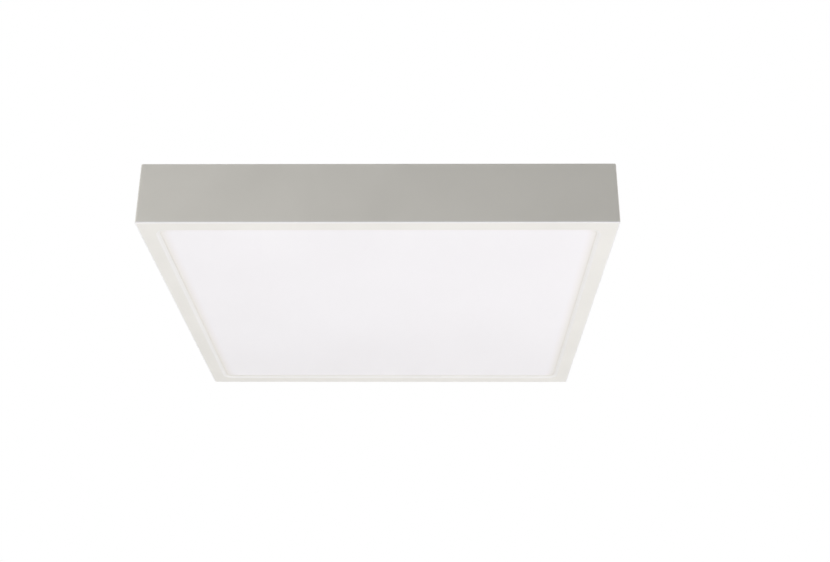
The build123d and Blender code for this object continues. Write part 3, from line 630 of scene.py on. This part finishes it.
# Studio light: a white room brightest overhead, a very large soft light high behind, one below and in front
# of the lit face, small ones to its left and right, and a faint one beside each side wall; metres and watts
lightLook = {
    "ceiling": 0.595, "horizon": 0.043, "ground": 0.36, "room": "#fffffb", "backdrop": "#ffffff",
    "soft": {
        "overhead": {
            "place": (1.5, 6.5, 9.0), "aim": (0.0, 0.0, 0.0),
            "size": 17.0, "power": 1155.0, "tint": "#ffffff",
        },
        "below": {
            "place": (0.02, -0.36, -0.90), "aim": (0.03, 0.0, -0.04),
            "size": 0.9, "power": 3.2, "tint": "#f3f4ff",
        },
        "left": {
            "place": (-0.52, -0.60, -0.06), "aim": (0.0, -0.15, -0.02),
            "size": 0.35, "power": 0.95, "tint": "#ffffff",
        },
        "right": {
            "place": (0.80, 0.05, -0.45), "aim": (0.0, 0.0, -0.04),
            "size": 0.4, "power": 0.965, "tint": "#f6f7ff",
        },
        "leftSide": {
            "place": (-1.5, 0.3, 0.45), "aim": (0.0, 0.0, -0.02),
            "size": 1.0, "power": 6.0, "tint": "#ffffff",
        },
        "rightSide": {
            "place": (1.5, 0.3, 0.45), "aim": (0.0, 0.0, -0.02),
            "size": 1.0, "power": 4.5, "tint": "#ffffff",
        },
    },
}


def whiteRoom(look):
    # the camera sees plain white; everything else sees a room whose light grows with the square of the sine
    # of the height angle, above ground of one even strength
    world = bpy.data.worlds.new("whiteRoom")
    bpy.context.scene.world = world
    world.use_nodes = True
    tree = world.node_tree
    tree.nodes.clear()
    toward = addNode(tree, "TexCoord").outputs["Generated"]
    height = addNode(tree, "SeparateXYZ", {}, {0: toward}).outputs[2]
    above = addNode(tree, "Math", {"operation": "MAXIMUM", 1: 0.0}, {0: height}).outputs[0]
    square = addNode(tree, "Math", {"operation": "POWER", 1: 2.0}, {0: above}).outputs[0]
    ends = {"To Min": look["horizon"], "To Max": look["ceiling"]}
    overhead = addNode(tree, "MapRange", ends, {"Value": square}).outputs[0]
    under = addNode(tree, "Math", {"operation": "LESS_THAN", 1: 0.0}, {0: height}).outputs[0]
    strength = addNode(tree, "Mix", {3: look["ground"]}, {0: under, 2: overhead}).outputs[0]
    room = addNode(tree, "Background", {"Color": toLinear(look["room"])}, {"Strength": strength}).outputs[0]
    plain = {"Color": toLinear(look["backdrop"]), "Strength": 1.0}
    back = addNode(tree, "Background", plain).outputs[0]
    seen = addNode(tree, "LightPath").outputs["Is Camera Ray"]
    mixed = addNode(tree, "MixShader", {}, {0: seen, 1: room, 2: back}).outputs[0]
    addNode(tree, "OutputWorld", {}, {"Surface": mixed})


def softLights(look):
    # each light is a square that looks from its place to its aim, and that the camera doesn't see
    for name, soft in look["soft"].items():
        data = bpy.data.lights.new(name, "AREA")
        data.size = soft["size"]
        data.energy = soft["power"]
        data.color = toLinear(soft["tint"])[:3]
        source = bpy.data.objects.new(name, data)
        bpy.context.scene.collection.objects.link(source)
        source.visible_camera = False
        way = Vector(soft["aim"]) - Vector(soft["place"])
        turn = way.to_track_quat("-Z", "Y").to_matrix().to_4x4()
        source.matrix_world = Matrix.Translation(soft["place"]) @ turn


whiteRoom(lightLook)
softLights(lightLook)

# Camera below the lamp, looking up: focal length in pixels of an image that many pixels wide, angles in
# degrees, place and sensor in millimetres, clip distances in metres
cameraLook = {
    "focal": 1150.0, "width": 830, "yaw": -0.540, "pitch": 24.067, "roll": 0.200,
    "place": (29.42, -782.08, -363.74), "sensor": 36.0, "clip": (0.01, 50.0),
}


def photoCamera(look):
    # forward from yaw and pitch; right is level, then both right and up turn by the roll
    yaw, pitch, roll = (math.radians(look[key]) for key in ("yaw", "pitch", "roll"))
    forward = np.array([math.sin(yaw) * math.cos(pitch), math.cos(yaw) * math.cos(pitch), math.sin(pitch)])
    level = np.array([math.cos(yaw), -math.sin(yaw), 0.0])
    rise = np.cross(level, forward)
    right = level * math.cos(roll) + rise * math.sin(roll)
    up = rise * math.cos(roll) - level * math.sin(roll)
    matrix = np.eye(4)
    matrix[:3] = np.stack([right, up, -forward, np.array(look["place"]) * mm], -1)
    data = bpy.data.cameras.new("photoCamera")
    data.sensor_fit = "HORIZONTAL"
    data.sensor_width = look["sensor"]
    data.lens = look["focal"] * look["sensor"] / look["width"]
    data.clip_start, data.clip_end = look["clip"]
    camera = bpy.data.objects.new("photoCamera", data)
    bpy.context.scene.collection.objects.link(camera)
    camera.matrix_world = Matrix(matrix.tolist())
    bpy.context.scene.camera = camera


photoCamera(cameraLook)
bpy.context.scene.view_settings.view_transform = "Standard"
print("light and camera set")
